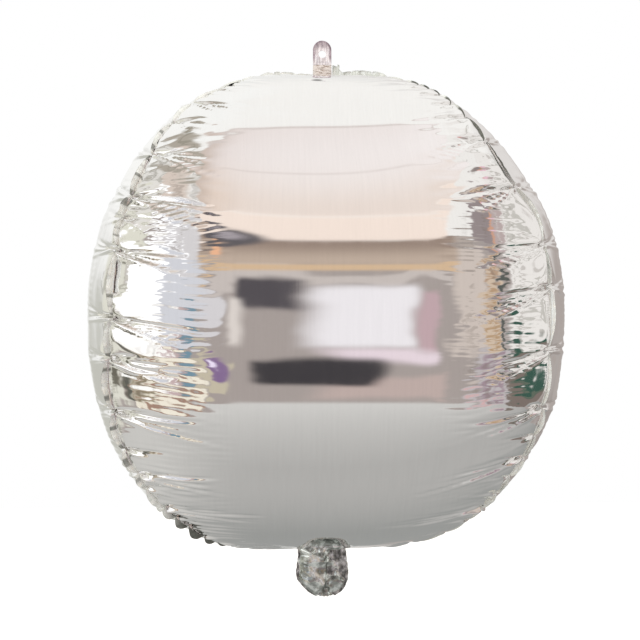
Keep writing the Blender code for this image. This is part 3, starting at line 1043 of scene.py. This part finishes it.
# Soft cards round the balloon, in degrees: azimuth 0 is behind the camera and grows to the right.
# Middle azimuth, half width, lowest and highest elevation, softness of the edges, colour
CARDS = (
    (0, 180, -34, 27, 1.5, (0.42, 0.37, 0.35)),
    (180, 75, -50, 40, 10, (0.88, 0.88, 0.86)),
    (138, 34, -8, 24, 10, (0.45, 0.4, 0.375)),
    (138, 36, -56, -4, 10, (0.36, 0.32, 0.3)),
    (138, 34, 12, 45, 10, (0.78, 0.75, 0.73)),
    (-132, 26, -32, 2, 9, (0.58, 0.58, 0.53)),
    (-135, 34, 14, 80, 8, (1, 1, 0.98)),
    (-104, 3.5, -30, 55, 2, (0.3, 0.29, 0.24)),
    (107, 3, -34, 34, 2, (0.34, 0.28, 0.26)),
    (-75, 38, 26, 46, 4, (0.84, 0.82, 0.78)),
    (-80, 19, 13, 29, 3, (0.8, 0.79, 0.69)),
    (-66, 40, 47, 72, 5, (0.46, 0.42, 0.36)),
    (-52, 16, 33, 50, 5, (0.74, 0.64, 0.57)),
    (-34, 13, 14, 34, 2, (0.72, 0.7, 0.71)),
    (-47, 16, 15.5, 19.5, 0.8, (1.2, 1.2, 1.22)),
    (-47, 16, 23, 27, 0.8, (1.2, 1.2, 1.22)),
    (-50, 14, 31, 34, 0.8, (1.2, 1.2, 1.2)),
    (-32, 11, -5, 15, 2, (0.7, 0.71, 0.76)),
    (-60, 17, -6, 16, 2, (1.3, 1.3, 1.3)),
    (-56, 22, -17, -6, 2, (1.12, 1.11, 1.08)),
    (-48, 27, -30, -17, 1, (0.95, 0.89, 0.76)),
    (-46, 25, -31, -28, 0.7, (0.4, 0.26, 0.2)),
    (-46, 25, -19, -16, 0.7, (0.46, 0.34, 0.26)),
    (-60, 9, -25, -19, 2, (0.3, 0.25, 0.17)),
    (-74, 5, -21, -12, 2, (0.13, 0.13, 0.11)),
    (-33, 10, -14, -9, 1, (0.6, 0.46, 0.46)),
    (-25, 5, -16, -6, 2, (0.2, 0.32, 0.4)),
    (-96, 17, -26, 30, 4, (0.8, 0.79, 0.7)),
    (-88, 4, -18, -2, 2, (0.16, 0.15, 0.12)),
    (40, 19, 28, 72, 3, (0.93, 0.91, 0.88)),
    (80, 24, -18, 70, 3, (0.9, 0.87, 0.84)),
    (42, 7, 26, 39, 1, (0.33, 0.28, 0.28)),
    (57, 8, 26, 36, 1, (0.52, 0.43, 0.42)),
    (54, 4.5, 31, 39, 1, (0.86, 0.58, 0.66)),
    (49, 1.5, 26, 38, 1, (0.66, 0.38, 0.27)),
    (29, 7, -12, 23, 2, (0.66, 0.58, 0.53)),
    (40.5, 5.5, -14, 18, 1, (0.68, 0.55, 0.43)),
    (40.5, 5.5, -9, -5, 1.6, (0.5, 0.34, 0.21)),
    (40.5, 5.5, 2.5, 6.5, 1.6, (0.5, 0.34, 0.22)),
    (40.5, 5.5, 12.5, 16, 1.6, (0.46, 0.3, 0.2)),
    (50, 2.2, -12, 16, 1, (0.11, 0.12, 0.11)),
    (72, 15, -30, -12, 2, (0.22, 0.18, 0.16)),
    (70, 15, -16.5, -8.5, 1.5, (0.05, 0.11, 0.085)),
    (44, 15, -30, -13, 1.5, (0.56, 0.52, 0.53)),
    (43, 12, -22, -17.5, 1.4, (0.38, 0.29, 0.33)),
    (43, 12, -28, -25.5, 1.2, (0.7, 0.47, 0.47)),
    (0, 22, 10, 15.5, 1, (0.62, 0.56, 0.53)),
    (-18, 5, -6, 9, 0.8, (0.72, 0.7, 0.72)),
    (-15, 5, -27, -12, 0.8, (0.6, 0.54, 0.42)),
)
# The same in front, with straighter edges
FRONT_CARDS = (
    (6.8, 5, -9, 9, 1.6, (0.92, 0.89, 0.92)),
    (14.2, 2, -10, 6, 1.2, (0.58, 0.42, 0.45)),
    (10, 7, -13.5, -9.5, 1.4, (0.86, 0.74, 0.8)),
    (11, 9, -28, -18, 1.6, (0.56, 0.45, 0.42)),
    (-3.4, 4.4, 1.5, 12, 1.2, (0.1, 0.09, 0.1)),
    (-8.5, 1.6, -8, 5, 1.4, (0.78, 0.72, 0.68)),
    (0.5, 5.6, -22.5, -13, 1.3, (0.06, 0.055, 0.06)),
)
# Round spots in front, in degrees: azimuth and elevation, half width and height, softness, colour
SPOTS = (
    ((-39, 5.5), (21.5, 12), 0.1, (0.7, 0.71, 0.76)),
    ((-60, 5.5), (17.5, 11.5), 0.08, (1.35, 1.35, 1.35)),
    ((-11, 27), (8.4, 3.2), 0.22, (0.13, 0.12, 0.13)),
    ((-10.5, 27.6), (4.2, 1.2), 0.6, (0.42, 0.38, 0.41)),
    ((-14, 21.8), (1.6, 1.9), 0.5, (0.92, 0.52, 0.32)),
    ((-13.5, -17), (3.4, 4.6), 0.2, (0.26, 0.17, 0.32)),
    ((-14.5, -15.8), (1.2, 1.5), 0.6, (0.95, 0.85, 1.05)),
)
CEILING_NEAR = (0.877, 0.8, 0.775)
CEILING_FAR = (0.835, 0.7, 0.61)
CEILING_SIDE = (0.6, 0.49, 0.42)
CEILING_PALE = (1, 0.955, 0.945)
CEILING_LINE = (0.64, 0.56, 0.53)
CEILING_SPREAD = 0.225
CORNICE = (0.985, 0.845, 0.755)
RAIL_TOP = (0.34, 0.26, 0.215)
RAIL_FOOT = (0.56, 0.45, 0.37)
RAIL_EDGE = (0.72, 0.52, 0.34)
FLOOR_TINT = (1, 0.985, 0.955)
FLOOR_BEHIND = (0.34, 0.345, 0.335)
FLOOR_SIDE = (0.7, 0.69, 0.66)
BLOTCH_TINT = (0.24, 0.2, 0.17)
BAND_TINT = (0.24, 0.23, 0.18)
SKY = (0.985, 0.972, 0.945)
WHITE = (1, 1, 1)


class Room(Nodes):
    """Layers of colour by direction, in the world's node tree."""

    def __init__(self, tree):
        super().__init__(tree)
        self.direction = self.add("ShaderNodeTexCoord").outputs["Generated"]
        self.aside, y, self.up = self.split(self.direction)
        self.ahead = self.times(y, -1)
        self.azimuth, self.elevation = self.angles(self.direction)
        cloud = self.noise(self.direction, 4.5).node.outputs["Color"]
        self.offset = self.vector("SUBTRACT", cloud, (0.5, 0.5, 0.5))
        self.loose = self.bent(0.42)
        self.firm = self.bent(0.11)
        self.colour = SKY

    def bent(self, strength):
        """Angles of the direction after noise has moved it a little."""
        moved = self.vector("MULTIPLY_ADD", self.offset, (strength,) * 3, self.direction)
        return self.angles(self.vector("NORMALIZE", moved))

    def angles(self, direction):
        x, y, z = self.split(direction)
        azimuth = self.math("DEGREES", self.math("ARCTAN2", x, self.times(y, -1)))
        return azimuth, self.math("DEGREES", self.math("ARCSINE", z))

    def band(self, value, low, high, soft):
        rising = self.ramp(value, low - soft, low + soft)
        return self.times(rising, self.ramp(value, high - soft, high + soft, 1, 0))

    def layer(self, tint, *masks):
        self.colour = self.mix(self.times(*masks), self.colour, tint)

    def card(self, angles, middle, half, low, high, soft, tint):
        azimuth, elevation = angles
        mask = self.band(elevation, low, high, soft)
        if half < 180:
            turn = self.math("MODULO", self.math("ADD", azimuth, 540 - middle), 360)
            turn = self.math("SUBTRACT", turn, 180)
            mask = self.times(mask, self.band(turn, -half, half, soft))
        self.layer(tint, mask)

    def spot(self, middle, size, soft, tint):
        reach = self.math("SQRT", self.oval(self.azimuth, self.elevation, middle, size))
        self.layer(tint, self.ramp(reach, 1 - soft, 1 + soft, 1, 0))

    def clutter(self):
        """Uneven tones and a few thin bands on both sides, between floor and ceiling."""
        azimuth, elevation = self.loose
        tone = self.noise(self.direction, 8)
        aside = self.math("ABSOLUTE", azimuth)
        side = self.band(aside, 24, 118, 4)
        level = self.band(elevation, -27, 58, 4)
        self.layer(BLOTCH_TINT, side, level, self.ramp(tone, 0.56, 0.64, 0, 0.4))
        wave = self.math("SINE", self.times(elevation, 2 * math.pi / 19))
        bands = self.ramp(wave, 0.86, 0.94, 0, 0.45)
        outer = self.band(aside, 62, 122, 5)
        self.layer(BAND_TINT, outer, self.band(elevation, -27, 70, 4), bands)

    def ceiling(self):
        """Wide panel overhead that gets broader away from the balloon, and the lighter wall below it."""
        over = self.math("MAXIMUM", self.up, 0.02)
        ahead = self.math("DIVIDE", self.ahead, over)
        aside = self.math("DIVIDE", self.aside, over)
        slant = self.math("MULTIPLY_ADD", ahead, CEILING_SPREAD, aside)
        wide = self.math("MULTIPLY_ADD", ahead, -CEILING_SPREAD, self.math("ABSOLUTE", aside))
        inside = self.ramp(wide, 0.25, 0.3, 1, 0)
        tint = self.mix(self.ramp(ahead, 0.25, 1.15), CEILING_NEAR, CEILING_FAR)
        edge = self.ramp(self.math("SUBTRACT", 0, slant), 0.03, 0.29, 0, 0.8)
        tint = self.mix(edge, tint, CEILING_SIDE)
        pale = self.ramp(slant, -0.1, 0.24, 0, 0.75)
        pale = self.times(pale, self.ramp(ahead, 0.3, 1.2, 1, 0.4))
        tint = self.mix(pale, tint, CEILING_PALE)
        self.layer(tint, inside, self.band(ahead, 0.045, 1.3, 0.03))
        self.layer(CORNICE, inside, self.band(ahead, 1.3, 1.98, 0.08))
        for low, share in ((0.035, 0.7), (0.605, 0.35)):
            self.layer(CEILING_LINE, inside, self.band(ahead, low, low + 0.024, 0.01), share)

    def rail(self):
        across = self.band(self.azimuth, -20.5, 23.5, 1.5)
        tint = self.mix(self.ramp(self.elevation, 18.6, 26), RAIL_FOOT, RAIL_TOP)
        self.layer(tint, across, self.band(self.elevation, 17.5, 26.6, 0.8))
        self.layer(RAIL_EDGE, across, self.band(self.elevation, 15, 17.3, 0.6))

    def floor(self):
        under = self.math("MAXIMUM", self.times(self.up, -1), 0.02)
        ahead = self.math("DIVIDE", self.ahead, under)
        tone = self.ramp(ahead, 0.5, 1.95, 0.465, 0.72, "LINEAR")
        behind = self.ramp(ahead, -0.7, 0.3)
        greys = [self.times(tone, tint) for tint in FLOOR_TINT]
        tint = self.mix(behind, FLOOR_BEHIND, self.filled("ShaderNodeCombineXYZ", greys).outputs[0])
        tint = self.mix(self.ramp(self.aside, -0.75, 0, 0.7, 0), tint, FLOOR_SIDE)
        self.layer(tint, self.ramp(self.elevation, -30.6, -28.9, 1, 0))


def make_world():
    """White to the camera, and a plain room of soft cards in the film's reflections."""
    world = bpy.data.worlds.new("studio")
    bpy.context.scene.world = world
    world.use_nodes = True
    room = Room(world.node_tree)
    for card in CARDS:
        room.card(room.loose, *card)
    for card in FRONT_CARDS:
        room.card(room.firm, *card)
    room.clutter()
    room.ceiling()
    room.rail()
    for spot in SPOTS:
        room.spot(*spot)
    room.floor()
    shade = room.filled("ShaderNodeBackground", (room.colour,)).outputs[0]
    white = room.filled("ShaderNodeBackground", (WHITE,)).outputs[0]
    seen = room.add("ShaderNodeLightPath").outputs["Is Camera Ray"]
    either = room.filled("ShaderNodeMixShader", (seen, shade, white)).outputs[0]
    room.filled("ShaderNodeOutputWorld", (either,))


def aim(item, place):
    """Puts an object at a place and points it at the middle."""
    item.location = place
    item.rotation_euler = (-Vector(place)).to_track_quat("-Z", "Y").to_euler()


def make_lights():
    """Two wide soft lights for the film that isn't a mirror; the mirror film doesn't show them."""
    for name, place, power in (("key", (-1.6, -2.4, 2.2), 60), ("fill", (2.2, -1.8, 0.6), 30)):
        data = bpy.data.lights.new("light_" + name, "AREA")
        data.size = 1.6
        data.energy = power
        light = add_to_scene("light_" + name, data)
        aim(light, place)
        light.visible_glossy = False
        light.visible_camera = False


def make_floor():
    """Pale floor far below, plain white to the camera."""
    signs = np.array([(-1, -1), (1, -1), (1, 1), (-1, 1)])
    corners = xyz(*(FLOOR_REACH * signs.T), np.full(4, FLOOR_HEIGHT))
    paint = Finish("floor_paint")
    tone = paint.mix(paint.noise(paint.place, 1.2), (0.9, 0.9, 0.89), (0.95, 0.95, 0.94))
    paint.feed(paint.shader.inputs["Emission Color"], WHITE)
    paint.feed(paint.shader.inputs["Emission Strength"], 0.5)
    floor = mesh_object("studio_floor", corners, [[0, 1, 2, 3]], paint.shaded(tone, 0, 0.7))
    floor.visible_glossy = False
    floor.visible_diffuse = False


def make_camera():
    data = bpy.data.cameras.new("photo_camera")
    camera = add_to_scene("photo_camera", data)
    azimuth = math.radians(CAMERA_AZIMUTH)
    aim(camera, Vector((math.sin(azimuth), -math.cos(azimuth), 0)) * CAMERA_DISTANCE)
    data.sensor_width = 36
    distance_pixels = PIXELS_PER_HALF_WIDTH * CAMERA_DISTANCE / HALF_WIDTH
    data.lens = data.sensor_width * distance_pixels / PICTURE_WIDTH
    data.shift_x = (0.5 * PICTURE_WIDTH - CENTRE_PIXEL[0]) / PICTURE_WIDTH
    data.shift_y = (CENTRE_PIXEL[1] - 0.5 * PICTURE_WIDTH) / PICTURE_WIDTH
    bpy.context.scene.camera = camera


def main():
    rng = np.random.default_rng(SEED)
    mirror = mirror_finish()
    seam_foil = strip_finish()
    tail_foil = crumple_finish()
    panel = Panel()
    heights = [[MILLIMETRE * value for value in notches] for notches in FRONT_NOTCHES]
    heights += [spread_notches(rng), spread_notches(rng)]
    seams = [Seam(panel, heights[place], place, rng) for place in range(4)]
    points = drawn_in(make_film(panel, seams, rng))
    make_gores(points, panel, mirror)
    for seam in seams:
        make_seam_strip(seam, rng, seam_foil)
    make_gather(rng, gather_finish())
    make_tab(rng, tab_finish())
    make_tail_neck(points, tail_foil)
    make_tail_ply("tail_ply_front", "tail_front_ply", -1, rng, tail_foil)
    make_tail_ply("tail_ply_back", "tail_back_ply", 1, rng, tail_foil)
    make_world()
    make_lights()
    make_floor()
    make_camera()
    bpy.context.scene.view_settings.view_transform = "Standard"


main()
